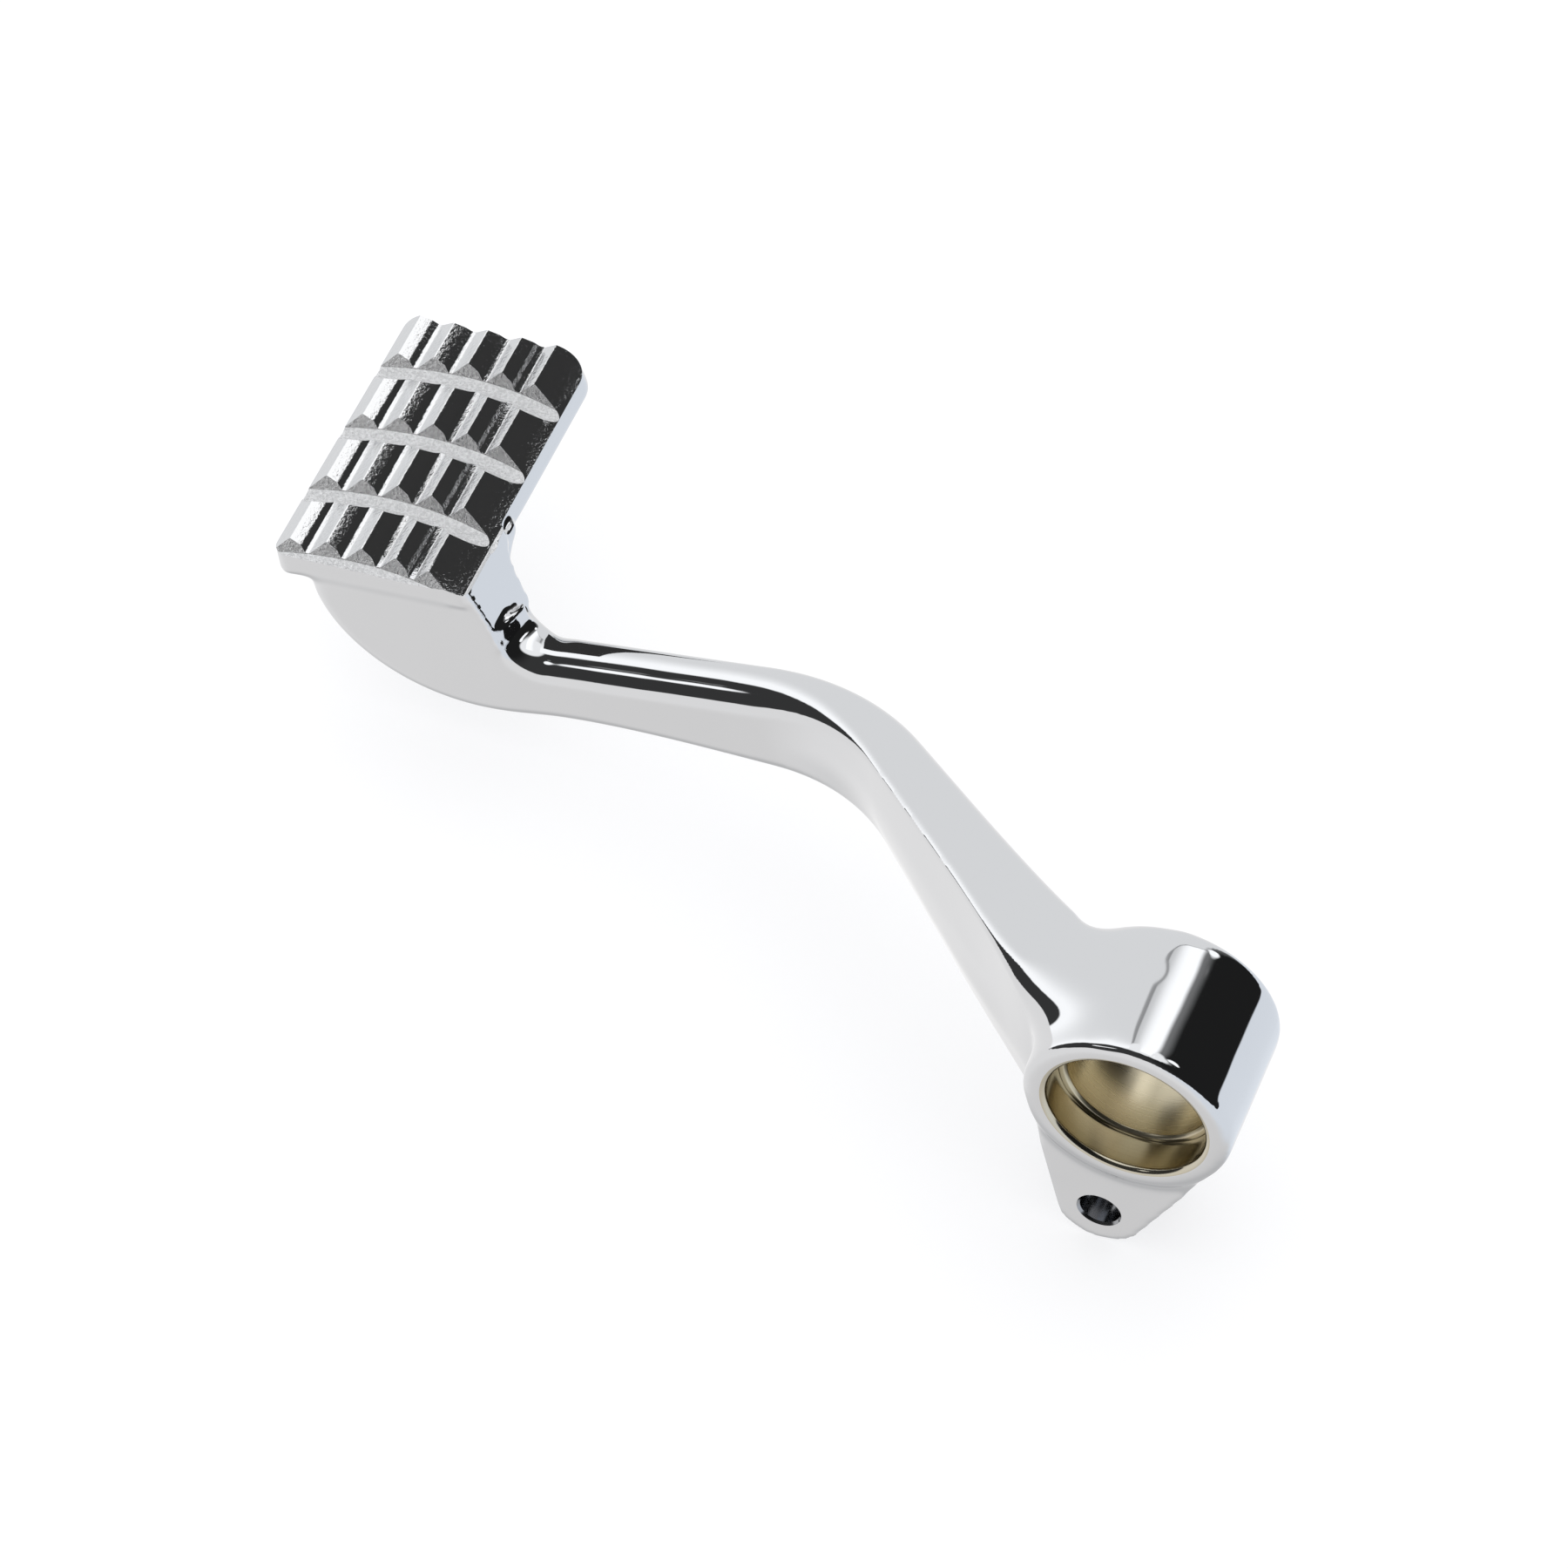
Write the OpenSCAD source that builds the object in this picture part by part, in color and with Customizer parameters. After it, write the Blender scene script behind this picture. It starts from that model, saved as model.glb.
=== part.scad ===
// Rear brake pedal: a cast pedal arm that turns on a shaft, with a bronze bushing in its pivot boss.
// The pedal is drawn level, X forward along the arm, Y along the pivot towards the bike, Z up, and is
// then pitched about the pivot to the attitude in which it stands on a bench.

/* [Attitude] */
// Nose-down pitch of the whole pedal about its pivot, in degrees
bench_pitch = 13.2; // [0:0.2:25]

/* [Pivot boss] */
// Outside diameter of the boss
boss_d = 42; // [38:0.5:50]
// Length of the boss along the pivot
boss_len = 32; // [28:0.5:40]
// Diameter of the bore that holds the bushing
bore_d = 31.75; // [30:0.05:34]
// Radius of the edge round the inboard face of the boss
near_edge_r = 1.5; // [0.5:0.1:2]
// Radius of the edge round the outboard face of the boss
far_edge_r = 3.5; // [1:0.1:4]
// Chamfer at each mouth of the bore
mouth_chamfer = 1.2; // [0.4:0.1:1.5]

/* [Bushing] */
// Wall of the bronze bushing, between its bore for the pivot shaft and the boss
bush_wall = 1.585; // [1.2:0.005:2.5]
// Depth of the bushing below the inboard face
bush_recess = 7.5; // [2:0.5:10]
// Depth of the bushing below the outboard face
bush_inset = 1; // [0.5:0.5:4]
// Chamfer at each end of the bushing bore
bush_chamfer = 0.6; // [0.2:0.1:0.8]

/* [Rod lug] */
// Distance from the pivot to the pin hole
lug_drop = 35; // [31:0.5:42]
// Angle of the pin hole forward of straight down, in degrees
lug_lean = 20; // [10:1:28]
// Radius of the rounded end of the lug
lug_end_r = 9; // [7:0.5:11]
// Thickness of the lug over both ears
lug_w = 24; // [20:0.5:26]
// Step from the inboard face of the boss to the lug
lug_step = 1.5; // [0.5:0.1:3]
// Width of the slot between the ears
slot_w = 8; // [6:0.5:10]
// Gap between the boss and the root of the slot
slot_root_gap = 2; // [1:0.5:3]
// Diameter of the pin hole
pin_hole_d = 8.2; // [6:0.1:9]

/* [Arm] */
// Distance of the arm's straight part outboard of the middle of the boss
arm_offset = 60.3; // [50:0.5:70]
// Distance from the pivot forward to the start of the neck
arm_reach = 149; // [135:1:170]
// Plan angle of the slanting part of the arm, in degrees
arm_swing = 40.6; // [35:0.5:45]
// Radius of the bend between the slanting part and the straight part
bend_r = 52; // [40:1:60]
// Radius in which the slanting part turns into the boss
root_r = 34; // [28:1:38]
// How far the arm's flat top lies below the top of the boss
top_drop = 0.3; // [0.2:0.1:1]
// Width of the arm's top at the neck
width_neck = 9.6; // [8:0.5:12]
// Width of the arm's top at the bend
width_bend = 10.6; // [9:0.5:13]
// Width of the arm's top where it meets the boss
width_root = 17; // [14:0.5:20]
// Height of the arm at the neck
height_neck = 17.6; // [12:0.2:18]
// Height of the arm where the straight part starts
height_straight = 22.6; // [16:0.2:25]
// Height of the arm where the slanting part ends
height_bend = 28; // [20:0.5:32]
// Height of the arm where it meets the boss
height_root = 45; // [36:0.5:48]
// Radius of the arm's inboard top edge along the straight part
crown_r_neck = 6.4; // [3:0.1:7]
// Radius of the arm's inboard top edge along the slanting part
crown_r_bend = 1.6; // [0.8:0.1:3]
// Radius of the arm's inboard top edge beside the boss
crown_r_root = 4; // [1:0.1:5]
// Radius of the arm's outboard top edge
arm_far_r = 2.4; // [1:0.1:3]
// Radius of the arm's two bottom edges
arm_under_r = 3.6; // [2:0.1:4]
// How far the flanks of the slanting part swell beyond its top
flank_swell = 4; // [0:0.1:5]

/* [Neck] */
// Radius in which the arm's top turns up into the back of the neck
neck_inner_r = 12; // [9:0.5:16]
// Distance from the front of the neck to the pad's front edge
neck_setback = 5; // [4:0.2:9]
// How far the neck spreads outboard on its way up
neck_spread = 9.5; // [4:0.5:12]
// How far the neck flares outboard in the fillet right below the pad
neck_flare = 5; // [2:0.5:8]
// Height of the knuckle's ridge above the arm's top
knuckle_rise = 7.4; // [5:0.2:9]
// Distance from the knuckle's ridge forward to the back of the neck
knuckle_step = 6; // [4:0.2:8]
// Radius of the fillet at the foot of the knuckle
knuckle_foot_r = 4.5; // [2:0.1:5]
// Turn of the knuckle's ridge in plan, its inboard end forward, in degrees
knuckle_skew = 15; // [0:1:20]

/* [Pad] */
// Size of the pad from back to front
pad_depth = 41.5; // [38:0.5:48]
// Size of the pad along the pivot
pad_width = 69; // [60:1:80]
// Thickness of the pad at its front, down from its ridge tops
pad_thick = 9; // [8:0.2:12]
// Thickness of the pad at its back, down from its ridge tops
pad_thick_back = 7.2; // [6:0.2:8]
// How far the pad's back wall leans out towards its foot
pad_back_lean = 1.8; // [0:0.1:3]
// Rise of the tread from back to front, in degrees
pad_tilt = 7; // [0:0.5:12]
// Distance from the back of the neck to the pad's back edge
pad_lip = 1.7; // [1:0.1:3]
// Height of the pad's ridge tops above the centre of the bend into the neck
pad_rise = 8.1; // [7:0.1:12]
// How far the pad's inboard edge stands proud of the neck
pad_proud = 0.4; // [0.2:0.1:1]
// Radius of the pad's outboard back corner
pad_corner_r = 7; // [3:0.5:10]
// Radius of the pad's other corners
pad_small_r = 2.5; // [1:0.5:4]
// Radius under the pad's edges
pad_under_r = 2.5; // [1:0.5:3.5]

/* [Tread] */
// Number of ridges from front to back
ridge_count = 5; // [3:1:5]
// Distance from one ridge to the next
ridge_pitch = 7.85; // [6.5:0.05:8]
// Distance from the pad's front edge to the first ridge
ridge_margin = 2.7; // [2:0.1:4]
// Width of the flat top of a ridge
ridge_flat = 2.8; // [1.5:0.1:3.2]
// Depth of the valleys between ridges
ridge_depth = 1.5; // [1:0.1:2]
// How far each flat top falls towards the back, in degrees
ridge_lean = 15; // [5:1:18]
// Number of grooves across the ridges, the first one along the inboard edge
groove_count = 4; // [2:1:4]
// Distance from the pad's inboard edge to the middle of the first groove
groove_first = 0.7; // [0:0.1:3]
// Distance from one groove to the next
groove_pitch = 18.1; // [16:0.1:20]
// Radius of the round bottom of a groove
groove_r = 3.9; // [3:0.1:5]
// Depth of a groove
groove_depth = 1.9; // [1.5:0.1:2.5]
// Distance from the middle of a groove to the top of its sloping outboard flank
groove_bevel = 4.1; // [3.8:0.1:5]
// Slope of the outboard flank of a groove, in degrees
groove_slope = 33; // [25:1:45]
// Radius of the sweep of a groove in plan
groove_sweep_r = 72; // [60:1:300]

/* [Hidden] */
$fn = 64;
eps = 0.01;

boss_r = boss_d / 2;
near_y = boss_len / 2;
far_y = -boss_len / 2;
shaft_bore_r = bore_d / 2 - bush_wall;
arm_top = boss_r - top_drop;
bush_near_y = near_y - bush_recess;
bush_far_y = far_y + bush_inset;
lug_x = lug_drop * sin(lug_lean);
lug_z = -lug_drop * cos(lug_lean);
lug_near_y = near_y - lug_step;
slot_near_y = lug_near_y - (lug_w - slot_w) / 2;

// Plan line of the arm, from the boss outwards: root arc, slant, bend arc, straight
root_tangent = root_r * tan(arm_swing / 2);
bend_tangent = bend_r * tan(arm_swing / 2);
slant_start = root_r * arm_swing * PI / 180;
slant_len = arm_offset / sin(arm_swing) - root_tangent - bend_tangent;
bend_start = slant_start + slant_len;
straight_start = bend_start + bend_r * arm_swing * PI / 180;
straight_len = arm_reach - root_tangent - bend_tangent - arm_offset / tan(arm_swing);
arm_len = straight_start + straight_len;
slant_from = [root_r * sin(arm_swing), -root_r * (1 - cos(arm_swing))];
bend_centre = slant_from + slant_len * [cos(arm_swing), -sin(arm_swing)]
            + bend_r * [sin(arm_swing), cos(arm_swing)];

// Heading of the plan line at distance s, in degrees outboard of straight forward
function heading(s) =
    s < slant_start ? s / root_r * 180 / PI
    : s < bend_start ? arm_swing
    : max(0, arm_swing - (s - bend_start) / bend_r * 180 / PI);

// Point of the plan line at distance s from the pivot
function plan_point(s) =
    let (a = heading(s))
    s < slant_start ? root_r * [sin(a), cos(a) - 1]
    : s < bend_start ? slant_from + (s - slant_start) * [cos(a), -sin(a)]
    : bend_centre - bend_r * [sin(a), cos(a)] + [max(0, s - straight_start), 0];

// Smooth step from 0 to 1
function ease(x) = let (c = min(1, max(0, x))) c * c * (3 - 2 * c);

// Value at s of a smooth curve through rows of [distance, value]
function row_slope(rows, i) =
    i == 0 || i == len(rows) - 1 ? 0
    : (rows[i + 1][1] - rows[i - 1][1]) / (rows[i + 1][0] - rows[i - 1][0]);
function row_index(rows, s, i = 0) =
    i >= len(rows) - 2 || s < rows[i + 1][0] ? i : row_index(rows, s, i + 1);
function curve(rows, s) =
    let (
        i = row_index(rows, s),
        gap = rows[i + 1][0] - rows[i][0],
        x = (s - rows[i][0]) / gap,
        rise = rows[i + 1][1] - rows[i][1]
    )
    rows[i][1] + rise * x * x * (3 - 2 * x)
    + gap * x * (1 - x) * (row_slope(rows, i) * (1 - x) - row_slope(rows, i + 1) * x);

// Arc across the corner b of a polygon, starting the setback d before it
corner_steps = 5;
function unit(v) = v / norm(v);
function corner(a, b, c, d) =
    let (
        u = unit(a - b),
        v = unit(c - b),
        w = sqrt((1 - u * v) / 2)
    )
    [for (i = [0:corner_steps])
        let (t = i / corner_steps, k0 = (1 - t) * (1 - t), k1 = 2 * w * t * (1 - t), k2 = t * t)
        (k0 * (b + d * u) + k1 * b + k2 * (b + d * v)) / (k0 + k1 + k2)];
function round_corners(points, setbacks) =
    let (n = len(points))
    [for (i = [0:n - 1])
        each corner(points[(i + n - 1) % n], points[i], points[(i + 1) % n], setbacks[i])];

// Section across the arm or the neck: inner edge at top, outer edge at bottom
side_round = 0.08;
foot_swell = 0.4;
edge_gap = 0.4;
function section(near, far, top, bottom, swell, crown, under) =
    let (middle = (top + bottom) / 2, side = (top - bottom) * side_round, foot = swell * foot_swell)
    round_corners(
        [[-far, top], [near, top], [near + swell, middle],
         [near + foot, bottom], [-far - foot, bottom], [-far - swell, middle]],
        [arm_far_r, min(crown, near + far - arm_far_r - edge_gap), side, under, under, side]
    );

// Sizes of the arm's section along the plan line
root_inset = 0.8;
root_half = boss_len / 2 - root_inset;
root_height = arm_top + 0.8 * boss_r;
root_flare = 1.6;
root_swell = 0.6;
end_swell = 0.2;
function half_width(s) =
    curve([[0, root_half], [slant_start, width_root / 2], [bend_start, width_bend / 2],
           [arm_len, width_neck / 2]], s);
function height(s) =
    curve([[0, root_height], [slant_start, height_root], [bend_start, height_bend],
           [straight_start, height_straight], [arm_len, height_neck]], s);
function crown(s) =
    curve([[0, root_flare * crown_r_root], [slant_start, crown_r_root],
           [root_flare * slant_start, crown_r_bend], [bend_start, crown_r_bend],
           [straight_start, crown_r_neck], [arm_len, crown_r_neck]], s);
function swell(s) =
    curve([[0, 0], [slant_start, flank_swell * root_swell], [(slant_start + bend_start) / 2, flank_swell],
           [straight_start, end_swell], [arm_len, 0]], s);

function arm_ring(s) =
    let (
        p = plan_point(s),
        a = heading(s),
        half = half_width(s)
    )
    [for (q = section(half, half, arm_top, arm_top - height(s), swell(s), crown(s), arm_under_r))
        [p[0] + q[0] * sin(a), p[1] + q[0] * cos(a), q[1]]];

// The neck fans round a hinge line above the end of the arm, and ends inside the pad
neck_z = arm_top + neck_inner_r;
neck_embed = 3;
neck_edge_r = 0.4;
neck_edge_rate = 1.15;
neck_outer_rate = 1.05;
flare_power = 8;
neck_turn = 90 + pad_tilt;
neck_near = width_neck / 2;
neck_outer_start = neck_inner_r + height_neck;
neck_outer_end = neck_inner_r + pad_lip + pad_depth - neck_setback;
function neck_ring(phi, push = 0) =
    let (
        k = phi / neck_turn,
        outer = neck_outer_start + (neck_outer_end - neck_outer_start) * ease(neck_outer_rate * k),
        edge = crown_r_neck + (neck_edge_r - crown_r_neck) * ease(neck_edge_rate * k),
        far = neck_near + neck_spread * k + neck_flare * pow(k, flare_power)
    )
    [for (q = section(neck_near, far, -neck_inner_r, -outer, 0, edge, arm_under_r))
        [arm_reach - q[1] * sin(phi) + push * cos(phi), q[0] - arm_offset,
         neck_z + q[1] * cos(phi) + push * sin(phi)]];

arm_rings = 40;
neck_rings = 14;
limb_rings = concat(
    [for (i = [0:arm_rings - 1]) arm_ring(arm_len * i / arm_rings)],
    [for (i = [0:neck_rings]) neck_ring(neck_turn * i / neck_rings)],
    [neck_ring(neck_turn, neck_embed)]
);

// Knuckle across the back of the neck: a ridge with a hollow foot that runs out on the arm's top
knuckle_x = arm_reach + neck_inner_r - knuckle_step;
knuckle_sink = 3;
module knuckle_profile() {
    r = knuckle_foot_r;
    back = knuckle_x - r - 1;
    floor_z = arm_top - knuckle_sink;
    foot = [for (a = [0:15:90]) [knuckle_x - r + r * sin(a), arm_top + r - r * cos(a)]];
    polygon(concat(
        [[knuckle_x + knuckle_step, floor_z], [back, floor_z], [back, arm_top - top_drop]],
        foot,
        [[knuckle_x, arm_top + knuckle_rise], [pad_back_x - pad_back_lean, neck_z + 2],
         [pad_back_x + 2, neck_z + 2]]
    ));
}

module knuckle() {
    near = neck_near - arm_offset - edge_gap;
    width = 2 * neck_near - arm_far_r + 2;
    back = knuckle_x - 2 * knuckle_foot_r;
    intersection() {
        translate([knuckle_x, near - width, 0]) rotate([0, 0, -knuckle_skew]) translate([-knuckle_x, 0, 0])
            plate(2 * width, 2 * width) knuckle_profile();
        linear_extrude(3 * arm_top) polygon([
            [back, near - width - 1], [pad_back_x + 5, near - width - 1], [pad_back_x + 5, near],
            [knuckle_x + knuckle_step / 3, near], [back, near - crown_r_neck]]);
    }
}

// Closed skin over a list of rings that all have the same number of points, with a fan over each end
function middle_of(ring) = [for (p = ring) 1] * ring / len(ring);
module skin(rings) {
    n = len(rings[0]);
    last = len(rings) - 1;
    start_hub = n * (last + 1);
    end_hub = start_hub + 1;
    sides = [for (i = [0:last - 1], j = [0:n - 1])
        let (a = i * n + j, b = i * n + (j + 1) % n)
        each [[a, b, b + n], [a, b + n, a + n]]];
    ends = [for (j = [0:n - 1])
        let (k = (j + 1) % n)
        each [[start_hub, k, j], [end_hub, last * n + j, last * n + k]]];
    points = concat([for (r = rings) each r], [middle_of(rings[0]), middle_of(rings[last])]);
    polyhedron(points, concat(sides, ends), convexity = 8);
}

// Turns a piece drawn along Z so that it lies along the pivot, from y0 towards y1
module along_pivot(y0) translate([0, y0, 0]) rotate([-90, 0, 0]) children();

// Half profile of the boss: radius across, distance along the pivot upwards
module boss_profile() {
    difference() {
        translate([0, far_y]) square([boss_r, boss_len]);
        translate([boss_r - far_edge_r, far_y]) edge_waste(far_edge_r);
        translate([boss_r - near_edge_r, near_y]) mirror([0, 1]) edge_waste(near_edge_r);
    }
}

// What a rounded edge of radius r takes off a square corner at its lower right
module edge_waste(r) {
    difference() {
        translate([0, -eps]) square([r + eps, r + eps]);
        translate([0, r]) circle(r);
    }
}

module boss() rotate([-90, 0, 0]) rotate_extrude() boss_profile();

// Side outline of the lug: its round end joined to the boss by both common tangents
module lug_outline() {
    tilt = asin((boss_r - lug_end_r) / lug_drop);
    down = atan2(lug_z, lug_x);
    function rim(r, side) = r * [cos(down + side * (90 - tilt)), sin(down + side * (90 - tilt))];
    translate([lug_x, lug_z]) circle(lug_end_r);
    polygon([rim(boss_r, 1), rim(lug_end_r, 1) + [lug_x, lug_z],
             rim(lug_end_r, -1) + [lug_x, lug_z], rim(boss_r, -1)]);
}

// Extrudes an outline drawn in X and Z from y0 outboard by depth
module plate(y0, depth) translate([0, y0, 0]) rotate([90, 0, 0]) linear_extrude(depth) children();

module lug() plate(lug_near_y, lug_w) lug_outline();

module slot() {
    plate(slot_near_y, slot_w) difference() {
        translate([-boss_d, lug_z - 2 * lug_end_r]) square([boss_d + boss_r + 1, -lug_z + 2 * lug_end_r]);
        circle(boss_r + slot_root_gap);
    }
}

// Pad, drawn from the inboard back corner of its ridge tops: X forward, Y inboard, Z up
back_flank_run = 1.6;
front_flank_share = 0.35;
module tread_profile() {
    fall = ridge_flat * tan(ridge_lean);
    back_flank = (ridge_depth - fall) * back_flank_run;
    front_flank = front_flank_share * ridge_pitch;
    first = pad_depth - ridge_margin;
    last = first - (ridge_count - 1) * ridge_pitch;
    polygon(concat(
        [[-pad_back_lean, -pad_thick_back], [0, -last * tan(ridge_lean)], [last, 0]],
        [for (i = [ridge_count - 2:-1:0]) let (apex = first - i * ridge_pitch)
            each [[apex - ridge_pitch + front_flank, -ridge_depth],
                  [apex - ridge_flat - back_flank, -ridge_depth], [apex - ridge_flat, -fall], [apex, 0]]],
        [[pad_depth, -ridge_depth], [pad_depth, -pad_thick]]
    ));
}

module pad_side() {
    r = pad_under_r;
    difference() {
        tread_profile();
        translate([pad_depth - r, -pad_thick]) edge_waste(r);
        translate([r - pad_back_lean, -pad_thick_back]) mirror([1, 0]) edge_waste(r);
    }
}

module pad_front() {
    difference() {
        translate([-pad_width, -pad_thick]) square([pad_width, pad_thick + 1]);
        translate([-pad_under_r, -pad_thick]) edge_waste(pad_under_r);
        translate([pad_under_r - pad_width, -pad_thick]) mirror([1, 0]) edge_waste(pad_under_r);
    }
}

module pad_plan() {
    difference() {
        translate([-pad_back_lean, -pad_width]) square([pad_depth + pad_back_lean, pad_width]);
        translate([pad_corner_r - pad_back_lean, -pad_width]) mirror([1, 0]) edge_waste(pad_corner_r);
        translate([pad_depth - pad_small_r, -pad_width]) edge_waste(pad_small_r);
        translate([pad_depth - pad_small_r, 0]) mirror([0, 1]) edge_waste(pad_small_r);
    }
}

// Section of a groove about the centre of its round bottom: outboard to the right, up
bevel_run = 2.6;
module groove_profile() {
    centre_h = groove_r - groove_depth;
    meet = groove_bevel - bevel_run;
    intersection() {
        union() {
            circle(groove_r);
            polygon([[0, 0], [meet, -centre_h - (groove_bevel - meet) * tan(groove_slope)],
                     [groove_bevel + 1, -centre_h + tan(groove_slope)], [groove_bevel + 1, groove_r]]);
        }
        translate([-groove_r, -groove_r]) square([3 * groove_r, 2 * groove_r]);
    }
}

// The grooves turn about points level with the tread and this share of its depth from its back
sweep_share = 0.57;
module pad_grooves() {
    for (i = [0:groove_count - 1]) {
        across = groove_sweep_r - groove_first - i * groove_pitch;
        translate([sweep_share * pad_depth, across, groove_r - groove_depth]) rotate_extrude()
            translate([groove_sweep_r, 0]) groove_profile($fn = 32);
    }
}

module pad() {
    difference() {
        intersection() {
            translate([0, 0, -pad_thick - 1]) linear_extrude(pad_thick + 2) pad_plan();
            rotate([90, 0, 0]) linear_extrude(pad_width) pad_side();
            translate([-pad_back_lean, 0, 0]) rotate([90, 0, 90])
                linear_extrude(pad_depth + pad_back_lean) pad_front();
        }
        pad_grooves();
    }
}

pad_back_x = arm_reach + neck_inner_r + pad_lip;
pad_near_y = neck_near - arm_offset + pad_proud;
pad_top_z = neck_z + pad_rise;

module on_bench() rotate([0, bench_pitch, 0]) children();

module pedal_casting() {
    color("gainsboro") on_bench() difference() {
        union() {
            boss();
            lug();
            skin(limb_rings);
            knuckle();
            translate([pad_back_x, pad_near_y, pad_top_z]) rotate([0, -pad_tilt, 0]) pad();
        }
        along_pivot(far_y - 1) cylinder(d = bore_d, h = boss_len + 2);
        along_pivot(near_y - mouth_chamfer)
            cylinder(d1 = bore_d, d2 = bore_d + 2 * mouth_chamfer + 2 * eps, h = mouth_chamfer + eps);
        along_pivot(far_y - eps)
            cylinder(d1 = bore_d + 2 * mouth_chamfer + 2 * eps, d2 = bore_d, h = mouth_chamfer + eps);
        slot();
        translate([lug_x, 0, lug_z]) along_pivot(far_y) cylinder(d = pin_hole_d, h = boss_len);
    }
}

module bushing() {
    bush_len = bush_near_y - bush_far_y;
    color("darkkhaki") on_bench() along_pivot(bush_far_y) rotate_extrude()
        translate([shaft_bore_r, 0])
            polygon([[bush_chamfer, 0], [bush_wall, 0], [bush_wall, bush_len], [bush_chamfer, bush_len],
                     [0, bush_len - bush_chamfer], [0, bush_chamfer]]);
}

pedal_casting();
bushing();
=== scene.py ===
import math

import bpy
from mathutils import Matrix, Vector
from mathutils.bvhtree import BVHTree


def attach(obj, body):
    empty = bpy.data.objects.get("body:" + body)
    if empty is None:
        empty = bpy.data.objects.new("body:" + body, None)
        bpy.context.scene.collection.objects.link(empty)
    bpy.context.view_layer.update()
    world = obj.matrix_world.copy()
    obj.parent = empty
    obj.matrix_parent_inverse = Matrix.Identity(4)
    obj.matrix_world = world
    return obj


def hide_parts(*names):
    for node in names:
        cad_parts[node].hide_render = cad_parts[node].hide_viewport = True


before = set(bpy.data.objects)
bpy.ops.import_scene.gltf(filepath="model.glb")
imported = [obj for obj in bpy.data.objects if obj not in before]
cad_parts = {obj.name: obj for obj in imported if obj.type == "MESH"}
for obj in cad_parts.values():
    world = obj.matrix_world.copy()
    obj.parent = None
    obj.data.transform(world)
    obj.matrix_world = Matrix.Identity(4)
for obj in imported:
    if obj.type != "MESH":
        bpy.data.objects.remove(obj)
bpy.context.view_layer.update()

bpy.ops.object.select_all(action="DESELECT")

# The pedal is modelled level and in millimetres, X forward, Y inboard along the pivot, Z up. Each
# finished piece is then pitched about the pivot and brought to metres by put_on_bench().
BENCH_PITCH = math.radians(13.2)

# Pivot boss and bushing
BOSS_R, NEAR_Y, FAR_Y = 21.0, 16.0, -16.0
BORE_R, SHAFT_R = 15.875, 14.29
NEAR_EDGE_R, FAR_EDGE_R, MOUTH_R = 1.2, 3.2, 1.2
BUSH_NEAR_Y, BUSH_FAR_Y, BUSH_CHAMFER, BUSH_EDGE_R, BUSH_PLAY = 8.5, -15.0, 0.6, 0.12, 0.02
OVERCUT = 2.0  # how far a tool runs past the face that it cuts

# Forked lug below the boss
LUG_DROP, LUG_LEAN, LUG_END_R, LUG_ROOT_R = 35.0, math.radians(20), 9.0, BOSS_R - 0.05
LUG_NEAR_Y, LUG_FAR_Y, SLOT_W, SLOT_ROOT_R = 14.5, -9.5, 8.0, 23.0
PIN_R, PIN_CHAMFER = 4.1, 0.5
LUG_X, LUG_Z = LUG_DROP * math.sin(LUG_LEAN), -LUG_DROP * math.cos(LUG_LEAN)

# Arm
ARM_OFFSET, ARM_REACH, ARM_SWING = 60.3, 149.0, math.radians(40.6)
BEND_R, ROOT_R = 52.0, 34.0
ARM_TOP = BOSS_R - 0.3
ARM_FAR_R, ARM_UNDER_R, FLANK_SWELL = 2.4, 3.6, 4.0
CROWN_NECK_R, CROWN_BEND_R, CROWN_ROOT_R = 6.4, 0.9, 4.2

# Neck, which turns up from the arm and carries the pad
WIDTH_NECK, HEIGHT_NECK = 9.6, 17.6
NECK_INNER_R, NECK_SETBACK, NECK_SPREAD = 12.0, 5.0, 9.5
NECK_FLARE, NECK_FLARE_POWER = 5.0, 8
NECK_END_CROWN, NECK_CROWN_RATE, NECK_OUTER_RATE = 0.4, 1.15, 1.05
NECK_RUN_IN = 3.0  # how far the neck runs on inside the pad
NECK_NEAR_Y = WIDTH_NECK / 2 - ARM_OFFSET
NECK_Z = ARM_TOP + NECK_INNER_R

# Knuckle across the foot of the neck, and the steep back of the neck over it
KNUCKLE_X, KNUCKLE_RISE, KNUCKLE_SKEW = ARM_REACH + NECK_INNER_R - 6, 7.4, math.radians(15)
KNUCKLE_FOOT_R, KNUCKLE_HALF_WIDTH, KNUCKLE_VALLEY = 4.5, 9.2, 1.9
WALL_OUTLINE = [(157.3, 1), (158.3, 8.4), (159.2, 12.8), (160.1, 16.2), (161.1, 19.8),
                (166, 19.8), (166, 1)]  # x, and height over the top of the arm
WALL_WIDTH, WALL_FLARE, WALL_FLARE_FROM = 15.0, 0.6, 12.0

# Pad
PAD_DEPTH, PAD_WIDTH, PAD_THICK, PAD_THICK_BACK = 41.5, 69.0, 9.0, 7.2
PAD_BACK_LEAN, PAD_LIP, PAD_RISE, PAD_PROUD = 1.8, 1.7, 8.1, 0.4
PAD_TILT = math.radians(7.0)
PAD_CORNER_R, PAD_SMALL_R, PAD_UNDER_R = 7.0, 2.5, 2.2
PAD_FROM = Vector((ARM_REACH + NECK_INNER_R + PAD_LIP, NECK_NEAR_Y + PAD_PROUD, NECK_Z + PAD_RISE))
SPARE = 1.2  # how far the pad block stands over its ridge tops before the tread is cut
NECK_TURN = math.radians(90) + PAD_TILT

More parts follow.
